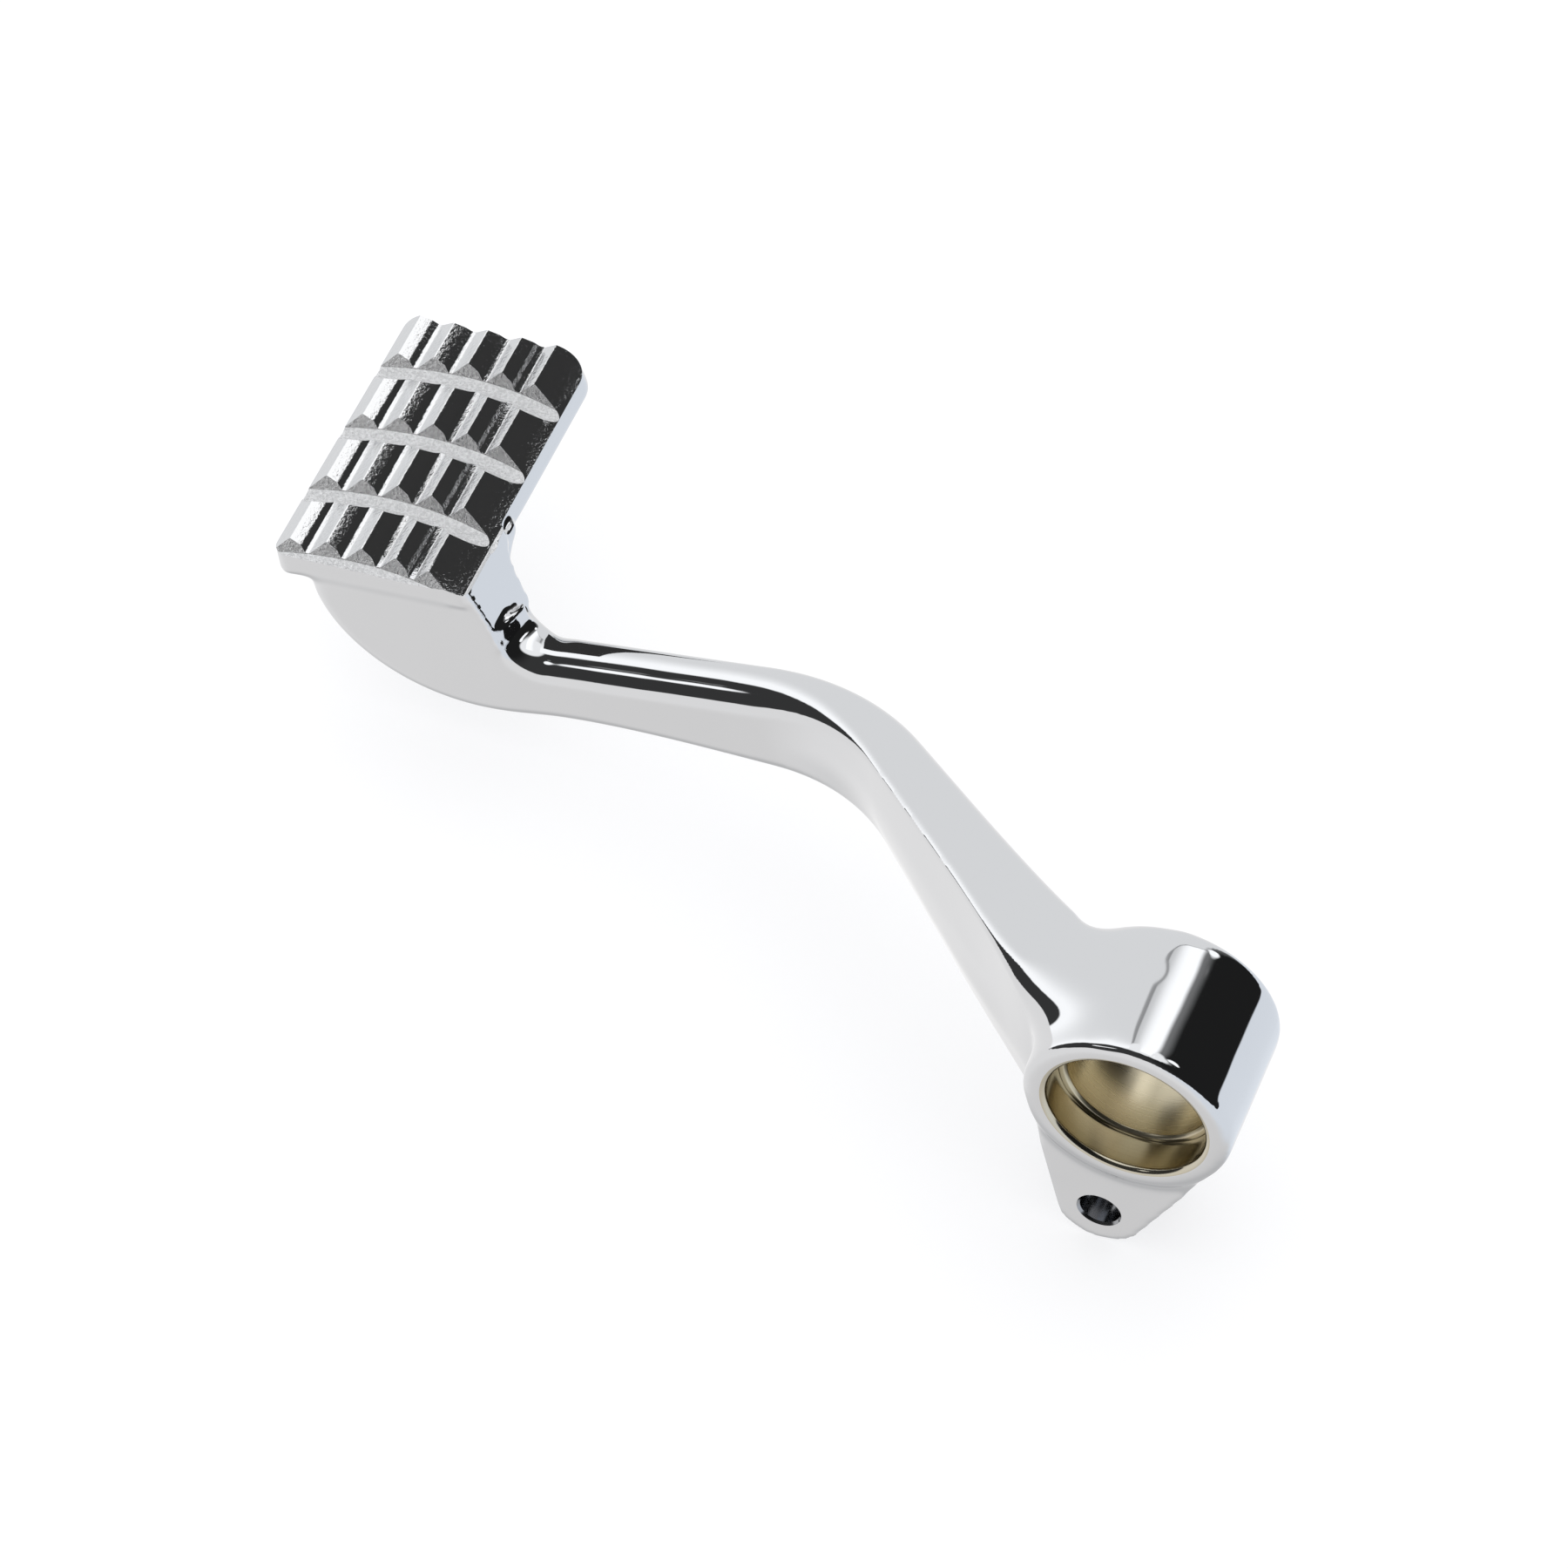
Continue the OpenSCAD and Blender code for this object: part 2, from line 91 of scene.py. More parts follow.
# Tread: ridges across the pad and grooves that sweep over it
APEXES = [38.7, 31.0, 23.3, 15.5, 7.6]
RIDGE_FLAT, RIDGE_DEPTH, RIDGE_LEAN = 2.8, 1.5, math.radians(15)
RIDGE_FRONT_RUN, RIDGE_BACK_RUN, RIDGE_EDGE_R = 2.7, 1.2, 0.3
GROOVE_R, GROOVE_DEPTH, GROOVE_SLOPE = 3.9, 1.9, math.radians(33)
GROOVE_BEVEL, GROOVE_BEVEL_RUN, GROOVE_HEADROOM = 4.1, 2.6, 3.5
GROOVE_FIRST, GROOVE_PITCH, GROOVE_COUNT = 0.7, 18.1, 4
GROOVE_SWEEP_R, GROOVE_REACH = 72.0, math.radians(32)

# How the parts of the casting are melted into one
VOXEL = 0.6
MELT_TURNS, SADDLE_TURNS, OVERALL_TURNS = ((36, 240, 5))
MELT_REACH, SADDLE_REACH = 4.0, 9.0
SHARP_ANGLE = math.radians(32)


# Small helpers for modelling by hand

def activate(piece):
    bpy.ops.object.select_all(action="DESELECT")
    bpy.context.view_layer.objects.active = piece
    piece.select_set(True)


def named(name):
    """Names the active object and its mesh."""
    piece = bpy.context.object
    piece.name = name
    piece.data.name = name
    return piece


def edit_all(piece, part="VERT"):
    """Goes into edit mode on piece with everything selected."""
    activate(piece)
    bpy.ops.object.mode_set(mode="EDIT")
    bpy.ops.mesh.select_mode(type=part)
    bpy.ops.mesh.select_all(action="SELECT")


def edit_edges(piece, test):
    """Goes into edit mode on piece with the edges selected for which test holds at both ends."""
    edit_all(piece, "EDGE")
    bpy.ops.mesh.select_all(action="DESELECT")
    done()
    for edge in piece.data.edges:
        edge.select = all(test(piece.data.vertices[i].co) for i in edge.vertices)
    bpy.ops.object.mode_set(mode="EDIT")


def edit_faces(piece, test):
    """Goes into edit mode on piece with the faces selected for whose normal test holds."""
    edit_all(piece, "FACE")
    bpy.ops.mesh.select_all(action="DESELECT")
    done()
    for face in piece.data.polygons:
        face.select = test(face.normal)
    bpy.ops.object.mode_set(mode="EDIT")


def done():
    bpy.ops.object.mode_set(mode="OBJECT")


def tidy_shell(piece):
    """Merges doubled vertices and turns the faces of a closed piece outwards."""
    edit_all(piece)
    bpy.ops.mesh.remove_doubles(threshold=0.0005)
    bpy.ops.mesh.normals_make_consistent(inside=False)
    done()


def apply_modifier(piece, kind, **settings):
    activate(piece)
    modifier = piece.modifiers.new(kind.title(), kind)
    for name, value in settings.items():
        setattr(modifier, name, value)
    bpy.ops.object.modifier_apply(modifier=modifier.name)


def from_points(name, points, faces):
    mesh = bpy.data.meshes.new(name)
    mesh.from_pydata(points, [], faces)
    piece = bpy.data.objects.new(name, mesh)
    bpy.context.scene.collection.objects.link(piece)
    return piece


def block(name, low, high):
    centre = [(a + b) / 2 for a, b in zip(low, high)]
    size = [b - a for a, b in zip(low, high)]
    bpy.ops.mesh.primitive_cube_add(size=1, location=centre, scale=size)
    bpy.ops.object.transform_apply(location=True, rotation=True, scale=True)
    return named(name)


def plate(name, outline, y0, y1):
    """A side outline of (x, z) points, drawn at y0 and extruded to y1."""
    points = [(x, y0, z) for x, z in outline]
    piece = from_points(name, points, [list(range(len(outline)))])
    edit_all(piece, "FACE")
    bpy.ops.mesh.extrude_region_move(TRANSFORM_OT_translate={"value": (0, y1 - y0, 0)})
    done()
    tidy_shell(piece)
    return piece


def turned(name, profile, steps=192, centre=(0, 0, 0), axis=(0, 1, 0), angle=2 * math.pi):
    """A lathe profile of points spun about an axis."""
    piece = from_points(name, profile, [])
    mesh = piece.data
    mesh.edges.add(len(profile) - 1)
    for i, edge in enumerate(mesh.edges):
        edge.vertices = (i, i + 1)
    edit_all(piece)
    bpy.ops.mesh.spin(steps=steps, angle=angle, center=centre, axis=[-a for a in axis],
                      use_auto_merge=False)
    done()
    tidy_shell(piece)
    return piece


def cut(piece, tool, operation="DIFFERENCE"):
    """Cuts or unites piece with tool, which brings its own finish to the new faces."""
    apply_modifier(piece, "BOOLEAN", object=tool, operation=operation, solver="EXACT",
                   material_mode="TRANSFER")
    bpy.data.objects.remove(tool)


def join(name, pieces):
    activate(pieces[0])
    for piece in pieces[1:]:
        piece.select_set(True)
    bpy.ops.object.join()
    return named(name)


def smooth_shaded(piece):
    activate(piece)
    bpy.ops.object.shade_smooth_by_angle(angle=SHARP_ANGLE)


def put_on_bench(piece):
    piece.data.transform(Matrix.Rotation(BENCH_PITCH, 4, "Y") @ Matrix.Scale(0.001, 4))
    piece.data.update()


# Curves and sections

def ease(x):
    """Smooth step from 0 at 0 to 1 at 1."""
    x = min(1.0, max(0.0, x))
    return x * x * (3 - 2 * x)


def smooth_rows(rows, s):
    """Value at s of a smooth curve through rows of (distance, value)."""
    def slope(i):
        if i in (0, len(rows) - 1):
            return 0.0
        return (rows[i + 1][1] - rows[i - 1][1]) / (rows[i + 1][0] - rows[i - 1][0])
    i = max(k for k in range(len(rows) - 1) if k == 0 or s >= rows[k][0])
    gap = rows[i + 1][0] - rows[i][0]
    x = (s - rows[i][0]) / gap
    rise = rows[i + 1][1] - rows[i][1]
    return (rows[i][1] + rise * x * x * (3 - 2 * x)
            + gap * x * (1 - x) * (slope(i) * (1 - x) - slope(i + 1) * x))


def corner(a, b, c, d, steps=10, full=1.0):
    """Arc across the corner b, from the setback d before it to the same setback after it.

    It is a round arc at full 1, and flatter below."""
    u, v = (a - b).normalized(), (c - b).normalized()
    w = full * math.sqrt((1 - u.dot(v)) / 2)
    arc = []
    for i in range(steps + 1):
        t = i / steps
        k0, k1, k2 = (1 - t) ** 2, 2 * w * t * (1 - t), t * t
        arc.append((k0 * (b + d * u) + k1 * b + k2 * (b + d * v)) / (k0 + k1 + k2))
    return arc


def softened(outline, radius, steps=4):
    """Rounds every corner of an open outline of (x, z) points."""
    points = [Vector(p) for p in outline]
    rim = [points[0]]
    for a, b, c in zip(points, points[1:], points[2:]):
        d = min(radius, 0.4 * (a - b).length, 0.4 * (c - b).length)
        rim += corner(a, b, c, d, steps)
    return [tuple(p) for p in rim + [points[-1]]]


def section(near, far, top, bottom, swell, crown, far_r, under, full=1.0):
    """Section across the limb, as points of (inboard, up). Its near top corner is the crown."""
    middle, side = (top + bottom) / 2, (top - bottom) * 0.2
    rim = [Vector(p) for p in (
        (-far, top), (near, top), (near + swell, middle),
        (near + swell * 0.4, bottom), (-far - swell * 0.4, bottom), (-far - swell, middle))]
    setbacks = (far_r, crown, side, under, under, side)
    fullness = (1.0, full, 1.0, 1.0, 1.0, 1.0)
    points = []
    for i in range(6):
        points += corner(rim[i - 1], rim[i], rim[(i + 1) % 6], setbacks[i], full=fullness[i])
    return points


# The limb: arm and neck in one skin of rings

ROOT_TANGENT = ROOT_R * math.tan(ARM_SWING / 2)
BEND_TANGENT = BEND_R * math.tan(ARM_SWING / 2)
SLANT_START = ROOT_R * ARM_SWING
SLANT_LEN = ARM_OFFSET / math.sin(ARM_SWING) - ROOT_TANGENT - BEND_TANGENT
BEND_START = SLANT_START + SLANT_LEN
STRAIGHT_START = BEND_START + BEND_R * ARM_SWING
ARM_LEN = (STRAIGHT_START + ARM_REACH - ROOT_TANGENT - BEND_TANGENT
           - ARM_OFFSET / math.tan(ARM_SWING))
SLANT_FROM = Vector((ROOT_R * math.sin(ARM_SWING), ROOT_R * (math.cos(ARM_SWING) - 1)))
ALONG_SLANT = Vector((math.cos(ARM_SWING), -math.sin(ARM_SWING)))
BEND_CENTRE = (SLANT_FROM + SLANT_LEN * ALONG_SLANT
               + BEND_R * Vector((math.sin(ARM_SWING), math.cos(ARM_SWING))))
ARM_RINGS, NECK_RINGS = 150, 56

# Rows of (distance along the arm, value)
HALF_WIDTHS = [(0, 15.2), (SLANT_START, 8.5), (BEND_START, 5.3), (ARM_LEN, 4.8)]
HEIGHTS = [(0, ARM_TOP + 0.8 * BOSS_R), (SLANT_START, 45), (BEND_START, 28),
           (STRAIGHT_START, 22.6), (ARM_LEN, HEIGHT_NECK)]
CROWNS = [(0, 6.5), (8, 5.2), (12, CROWN_ROOT_R), (18, 3.3), (26, 1.7), (38, CROWN_BEND_R),
          (BEND_START, CROWN_BEND_R), (STRAIGHT_START, CROWN_NECK_R), (ARM_LEN, CROWN_NECK_R)]
CROWN_FULLNESS = [(0, 0.2), (SLANT_START, 0.3), (38, 1.0), (ARM_LEN, 1.0)]
SWELLS = [(0, 0), (SLANT_START, 0.6 * FLANK_SWELL), ((SLANT_START + BEND_START) / 2, FLANK_SWELL),
          (STRAIGHT_START, 0.2), (ARM_LEN, 0)]


def plan_line(s):
    """Point of the arm's plan line at distance s from the pivot, and its heading."""
    if s < SLANT_START:
        a = s / ROOT_R
        return Vector((math.sin(a), math.cos(a) - 1)) * ROOT_R, a
    if s < BEND_START:
        return SLANT_FROM + (s - SLANT_START) * ALONG_SLANT, ARM_SWING
    a = max(0.0, ARM_SWING - (s - BEND_START) / BEND_R)
    on_arc = BEND_CENTRE - BEND_R * Vector((math.sin(a), math.cos(a)))
    return on_arc + Vector((max(0, s - STRAIGHT_START), 0)), a


def arm_ring(s):
    point, a = plan_line(s)
    half, height = smooth_rows(HALF_WIDTHS, s), smooth_rows(HEIGHTS, s)
    crown = min(smooth_rows(CROWNS, s), 2 * half - ARM_FAR_R - 0.4)
    rim = section(half, half, ARM_TOP, ARM_TOP - height, smooth_rows(SWELLS, s), crown,
                  ARM_FAR_R, ARM_UNDER_R, smooth_rows(CROWN_FULLNESS, s))
    return [(point.x + q.x * math.sin(a), point.y + q.x * math.cos(a), q.y) for q in rim]


def neck_ring(turn, push=0.0):
    """Section of the neck after a turn from level, pushed on along its heading."""
    k = turn / NECK_TURN
    near = WIDTH_NECK / 2
    start = NECK_INNER_R + HEIGHT_NECK
    end = NECK_INNER_R + PAD_LIP + PAD_DEPTH - NECK_SETBACK
    outer = start + (end - start) * ease(NECK_OUTER_RATE * k)
    crown = CROWN_NECK_R + (NECK_END_CROWN - CROWN_NECK_R) * ease(NECK_CROWN_RATE * k)
    far = near + NECK_SPREAD * k + NECK_FLARE * k ** NECK_FLARE_POWER
    rim = section(near, far, -NECK_INNER_R, -outer, 0, crown, ARM_FAR_R, ARM_UNDER_R)
    return [(ARM_REACH - q.y * math.sin(turn) + push * math.cos(turn), q.x - ARM_OFFSET,
             NECK_Z + q.y * math.cos(turn) + push * math.sin(turn)) for q in rim]


def limb():
    rings = [arm_ring(ARM_LEN * i / ARM_RINGS) for i in range(ARM_RINGS)]
    rings += [neck_ring(NECK_TURN * i / NECK_RINGS) for i in range(NECK_RINGS + 1)]
    rings += [neck_ring(NECK_TURN, NECK_RUN_IN)]
    n, last = len(rings[0]), len(rings) - 1
    points = [p for ring in rings for p in ring]
    faces = [[i * n + j, i * n + (j + 1) % n, (i + 1) * n + (j + 1) % n, (i + 1) * n + j]
             for i in range(last) for j in range(n)]
    faces += [list(range(n))[::-1], [last * n + j for j in range(n)]]
    piece = from_points("limb", points, faces)
    tidy_shell(piece)
    return piece


# Boss, lug, pad block, knuckle and neck wall

def cylinder(name, radius, y0, y1, x=0, z=0, steps=256):
    """A cylinder from y0 to y1 along the pivot's direction."""
    bpy.ops.mesh.primitive_cylinder_add(
        vertices=steps, radius=radius, depth=abs(y1 - y0), location=(x, (y0 + y1) / 2, z),
        rotation=(math.pi / 2, 0, 0))
    bpy.ops.object.transform_apply(location=True, rotation=True)
    return named(name)


def boss():
    piece = cylinder("boss", BOSS_R, FAR_Y, NEAR_Y)
    for y, r in ((NEAR_Y, NEAR_EDGE_R), (FAR_Y, FAR_EDGE_R)):
        edit_edges(piece, lambda co: abs(co.y - y) < 0.01)
        bpy.ops.mesh.bevel(offset=r, segments=6)
        done()
    return piece


def lug():
    end = cylinder("lug end", LUG_END_R, LUG_FAR_Y, LUG_NEAR_Y, LUG_X, LUG_Z, 128)
    root = cylinder("lug root", LUG_ROOT_R, LUG_FAR_Y, LUG_NEAR_Y, steps=128)
    piece = join("lug", [root, end])
    edit_all(piece)
    bpy.ops.mesh.convex_hull()
    done()
    return piece


def on_pad(piece):
    """Moves a piece drawn from the inboard back corner of the ridge tops to the pad."""
    piece.data.transform(Matrix.Translation(PAD_FROM) @ Matrix.Rotation(-PAD_TILT, 4, "Y"))
    return piece


def pad_block():
    piece = block("pad block", (0, -PAD_WIDTH, -PAD_THICK), (PAD_DEPTH, 0, SPARE))
    mid_x, mid_y = PAD_DEPTH / 2, -PAD_WIDTH / 2
    for vertex in piece.data.vertices:
        if vertex.co.x < mid_x and vertex.co.z < 0:
            vertex.co.z = -PAD_THICK_BACK
            vertex.co.x = -PAD_BACK_LEAN
        elif vertex.co.x < mid_x:
            vertex.co.x = PAD_BACK_LEAN * SPARE / PAD_THICK_BACK
    for at_corner, r in ((lambda co: co.x < mid_x and co.y < mid_y, PAD_CORNER_R),
                         (lambda co: co.x > mid_x and co.y < mid_y, PAD_SMALL_R),
                         (lambda co: co.x > mid_x and co.y > mid_y, PAD_SMALL_R)):
        edit_edges(piece, at_corner)
        bpy.ops.mesh.bevel(offset=r, segments=16)
        done()
    edit_faces(piece, lambda normal: normal.z < -0.9)
    bpy.ops.mesh.region_to_loop()
    bpy.ops.mesh.bevel(offset=PAD_UNDER_R, segments=8)
    done()
    return on_pad(piece)


def knuckle():
    """The lump across the foot of the neck: hollow foot, ridge and the small valley behind it."""
    x, r, half = KNUCKLE_X, KNUCKLE_FOOT_R, KNUCKLE_HALF_WIDTH
    foot, top = ARM_TOP, ARM_TOP + KNUCKLE_RISE
    outline = [(x + 6, foot - 3), (x - r - 1, foot - 3), (x - r - 1, foot - 0.3)]
    outline += [(x - r + r * math.sin(a), foot + r - r * math.cos(a))
                for a in (math.radians(5 * i) for i in range(19))]
    outline += [(x, top - 0.7), (x + 0.3, top - 0.1), (x + 0.9, top),
                (x + 1.9, top - KNUCKLE_VALLEY), (x + 6, top - KNUCKLE_VALLEY)]
    near = NECK_NEAR_Y - 0.5
    piece = plate("knuckle", outline, 2 * half, 0)
    piece.data.transform(Matrix.Translation((x, near - half, 0))
                         @ Matrix.Rotation(-KNUCKLE_SKEW, 4, "Z") @ Matrix.Translation((-x, 0, 0)))
    # Trimmed flush with the neck's flank and slantwise across its near end
    for place, outwards in (((0, near, 0), (0, 1, 0)), ((x - 9, near - 6.4, 0), (-0.45, 1, 0))):
        edit_all(piece)
        bpy.ops.mesh.bisect(plane_co=place, plane_no=outwards, use_fill=True, clear_outer=True)
        done()
    tidy_shell(piece)
    return piece


def neck_wall():
    """The steep back of the neck between the knuckle and the pad, which flares outboard."""
    outline = [(x, ARM_TOP + rise) for x, rise in WALL_OUTLINE]
    wall = plate("neck wall", outline, NECK_NEAR_Y, NECK_NEAR_Y - WALL_WIDTH)
    for vertex in wall.data.vertices:
        over = vertex.co.z - ARM_TOP - WALL_FLARE_FROM
        if vertex.co.y < NECK_NEAR_Y - WALL_WIDTH / 2 and over > 0:
            vertex.co.y -= WALL_FLARE * over
    return wall


# Cutting tools: bore, slot, pin hole and tread

def bore_tool(inside):
    r, c = BORE_R, MOUTH_R
    lip = [(r + c * (1 - math.cos(a)), NEAR_Y - c * (1 - math.sin(a)), 0)
           for a in (math.radians(15 * i) for i in range(7))]
    tool = turned("bore tool", [
        (0, FAR_Y - OVERCUT, 0), (r + c + OVERCUT, FAR_Y - OVERCUT, 0), (r + c, FAR_Y, 0),
        (r, FAR_Y + c, 0), *lip, (r + c + 0.3, NEAR_Y + OVERCUT, 0), (0, NEAR_Y + OVERCUT, 0)],
        256)
    tool.data.materials.append(inside)
    return tool


def lug_tool(inside):
    """The slot of the fork, rounded at its root, with the pin hole across it."""
    arc = [(SLOT_ROOT_R * math.cos(a), SLOT_ROOT_R * math.sin(a))
           for a in (math.radians(180 + 163 * i / 60) for i in range(61))]
    slot_near = (LUG_NEAR_Y + LUG_FAR_Y) / 2 + SLOT_W / 2
    slot = plate("slot", arc + [(22, -54), (-42, -54), (-42, 0)], slot_near, slot_near - SLOT_W)
    r, c = PIN_R, PIN_CHAMFER
    pin = turned("pin hole", [
        (0, LUG_FAR_Y - OVERCUT, 0), (r + c + OVERCUT, LUG_FAR_Y - OVERCUT, 0),
        (r + c, LUG_FAR_Y, 0), (r, LUG_FAR_Y + c, 0), (r, LUG_NEAR_Y - c, 0),
        (r + c, LUG_NEAR_Y, 0), (r + c + OVERCUT, LUG_NEAR_Y + OVERCUT, 0),
        (0, LUG_NEAR_Y + OVERCUT, 0)], 96)
    pin.data.transform(Matrix.Translation((LUG_X, 0, LUG_Z)))
    for piece in (pin, slot):
        piece.data.materials.append(inside)
    cut(slot, pin, "UNION")
    return slot


def tread_outline():
    """Everything over the ridges, seen from the side: x forward from the pad's back, z up."""
    fall, ahead = RIDGE_FLAT * math.tan(RIDGE_LEAN), PAD_DEPTH + 4
    line = [(-6.0, 1.0), (-1.0, -APEXES[-1] * math.tan(RIDGE_LEAN)), (APEXES[-1], 0)]
    for back, front in zip(APEXES[::-1], APEXES[-2::-1]):
        flat = front - RIDGE_FLAT
        line += [(back + RIDGE_FRONT_RUN, -RIDGE_DEPTH), (flat - RIDGE_BACK_RUN, -RIDGE_DEPTH),
                 (flat, -fall), (front, 0)]
    line += [(APEXES[0] + 2.8, -RIDGE_DEPTH), (ahead, -RIDGE_DEPTH - 0.2)]
    return softened(line, RIDGE_EDGE_R) + [(ahead, 4), (-6, 4)]


def groove_tool(i, floors, facets):
    """One swept groove: a round bottom and, on its outboard side, a slope that faces the ridges."""
    drop = GROOVE_R - GROOVE_DEPTH
    # Section: x outboard from the groove's middle, z up from the centre of its round bottom
    meet = GROOVE_BEVEL - GROOVE_BEVEL_RUN
    angle = math.atan2(-drop - GROOVE_BEVEL_RUN * math.tan(GROOVE_SLOPE), meet)
    bottom = [(GROOVE_R * math.cos(a), GROOVE_R * math.sin(a))
              for a in (math.pi + (angle + math.pi) * k / 28 for k in range(29))]
    rim = [(-GROOVE_R, GROOVE_HEADROOM), *bottom,
           (GROOVE_BEVEL + 1, -drop + math.tan(GROOVE_SLOPE)),
           (GROOVE_BEVEL + 1, GROOVE_HEADROOM), (-GROOVE_R, GROOVE_HEADROOM)]
    sweep_y = GROOVE_SWEEP_R - GROOVE_FIRST - i * GROOVE_PITCH
    centre = Vector((0.57 * PAD_DEPTH, sweep_y, drop))
    profile = []
    for x, z in rim:
        start = Vector((0, -(GROOVE_SWEEP_R + x), z))
        start.rotate(Matrix.Rotation(-GROOVE_REACH, 3, "Z"))
        profile.append(centre + start)
    groove = turned("groove", profile, 72, centre, (0, 0, 1), 2 * GROOVE_REACH)
    # The two open ends are closed
    edit_all(groove, "EDGE")
    bpy.ops.mesh.select_all(action="DESELECT")
    bpy.ops.mesh.select_non_manifold()
    bpy.ops.mesh.edge_face_add()
    bpy.ops.mesh.select_all(action="SELECT")
    bpy.ops.mesh.normals_make_consistent(inside=False)
    done()
    groove.data.materials.append(floors)
    groove.data.materials.append(facets)
    for face in groove.data.polygons:
        outboard = (face.center - centre).xy.length - GROOVE_SWEEP_R
        face.material_index = 1 if outboard > meet + 0.1 else 0
    return groove


def tread_tool(flats, floors, facets):
    tool = plate("tread tool", tread_outline(), 3, -PAD_WIDTH - 3)
    tool.data.materials.append(flats)
    for i in range(GROOVE_COUNT):
        cut(tool, groove_tool(i, floors, facets), "UNION")
    return on_pad(tool)


# Finishes

class Term:
    """An output socket that can stand in a sum."""

    def __init__(self, finish, socket):
        self.finish, self.socket = finish, socket

    def __add__(self, other):
        return self.finish.math("ADD", self, other)

    def __sub__(self, other):
        return self.finish.math("SUBTRACT", self, other)

    def __rsub__(self, other):
        return self.finish.math("SUBTRACT", other, self)

    def __mul__(self, other):
        return self.finish.math("MULTIPLY", self, other)

    __radd__, __rmul__ = __add__, __mul__


class Finish:
    """A node material under construction."""

    def __init__(self, name):
        self.material = bpy.data.materials.new(name)
        self.material.use_nodes = True
        tree = self.material.node_tree
        self.nodes, self.links = tree.nodes, tree.links
        self.nodes.clear()
        self.place = self.node("TexCoord")["Object"]

    def node(self, kind, settings=None, **sockets):
        """Adds a node and gives its outputs by name. An input is named, or _ and its number."""
        node = self.nodes.new("ShaderNode" + kind)
        for name, value in (settings or {}).items():
            setattr(node, name, value)
        for name, value in sockets.items():
            numbered = name[0] == "_"
            socket = node.inputs[int(name[1:]) if numbered else name.replace("_", " ")]
            if isinstance(value, Term):
                self.links.new(value.socket, socket)
            else:
                socket.default_value = value
        return {socket.name: Term(self, socket)
                for socket in reversed(node.outputs) if socket.enabled}

    def math(self, operation, a, b):
        return self.node("Math", {"operation": operation}, _0=a, _1=b)["Value"]

    def axes(self, vector):
        parts = self.node("SeparateXYZ", Vector=vector)
        return parts["X"], parts["Y"], parts["Z"]

    def noise(self, scale, detail=2.0, roughness=0.5, at=None):
        return self.node("TexNoise", Vector=at or self.place, Scale=scale, Detail=detail,
                         Roughness=roughness)["Fac"]

    def mix(self, factor, a, b):
        return self.node("Mix", {"data_type": "RGBA"}, _0=factor, _6=a, _7=b)["Result"]

    def bump(self, height, distance):
        return self.node("Bump", Height=height, Distance=distance, Strength=1.0)["Normal"]

    def ramp(self, value, low, high):
        """Smooth step of value from 0 at low to 1 at high."""
        return self.node("MapRange", {"interpolation_type": "SMOOTHSTEP"},
                         _0=value, _1=low, _2=high)["Result"]

    def turning_lines(self, scale, detail, roughness):
        """Noise in fine lines round the pivot, as a lathe leaves them."""
        along = self.node("CombineXYZ", Y=self.axes(self.place)[1] * 3.0)["Vector"]
        return self.noise(scale, detail, roughness, at=along)

    def metal(self, **sockets):
        shader = self.node("BsdfPrincipled", **sockets)["BSDF"]
        self.node("OutputMaterial", Surface=shader)
        return self.material

    def glow(self, colour, strength):
        light = self.node("Emission", Color=colour, Strength=strength)["Emission"]
        self.node("OutputMaterial", Surface=light)
        return self.material


CHROME = (0.70, 0.705, 0.715, 1)


def grey(value):
    return (value, value, value, 1)


def polished_chrome():
    f = Finish("polished chrome")
    return f.metal(
        Base_Color=CHROME, Metallic=1.0,
        Roughness=0.02 + 0.03 * f.noise(900.0, 3.0, 0.6),
        Normal=f.bump(f.noise(60.0, 1.0), 0.0002))


def tread_chrome():
    """Plating over the hand-polished tops of the tread, with a pebbly skin."""
    f = Finish("chrome of the tread")
    return f.metal(
        Base_Color=CHROME, Metallic=1.0,
        Roughness=0.05 + 0.05 * f.noise(1500.0),
        Normal=f.bump(f.noise(1300.0, 3.0, 0.6), 0.0001))


def cast_chrome(name, shade, metallic):
    """Bright but unpolished plating over the rough casting, made in a lighter and a greyer copy:
    the level of its base colour, set by shade, is painted light on the one and painted shade on the
    other.
    """
    f = Finish(name)
    grit = f.noise(1500.0, 3.0, 0.65)
    return f.metal(
        Base_Color=f.mix(f.ramp(grit, 0.40, 0.62), grey(0.8 * shade), grey(shade)),
        Metallic=metallic, Roughness=0.10 + 0.16 * f.noise(900.0),
        Normal=f.bump(grit, 0.0011))


def bore_chrome_painted_reflection():
    """Bored and plated inside of the boss, whose base colour takes the warm colour of the bushing
    as a painted reflection of it.
    """
    f = Finish("bored chrome with painted bushing reflection")
    lines = f.turning_lines(900.0, 2.0, 0.5)
    return f.metal(
        Base_Color=f.mix(lines, (0.50, 0.46, 0.36, 1), (0.66, 0.61, 0.50, 1)), Metallic=1.0,
        Roughness=0.10 + 0.08 * lines,
        Normal=f.bump(lines, 0.00001))


def recess_chrome_painted_shade():
    """The plating inside the slot and the pin hole, its base colour darkened as painted shade in
    these recesses.
    """
    f = Finish("recess chrome with painted shade")
    return f.metal(Base_Color=(0.36, 0.365, 0.38, 1), Metallic=1.0,
                   Roughness=0.14 + 0.1 * f.noise(1200.0))


def bronze():
    f = Finish("bored bronze")
    lines = f.turning_lines(700.0, 3.0, 0.6)
    return f.metal(
        Base_Color=f.mix(f.noise(120.0), (0.62, 0.55, 0.39, 1), (0.70, 0.63, 0.47, 1)),
        Metallic=1.0, Roughness=0.24 + 0.08 * lines,
        Normal=f.bump(lines, 0.00001))


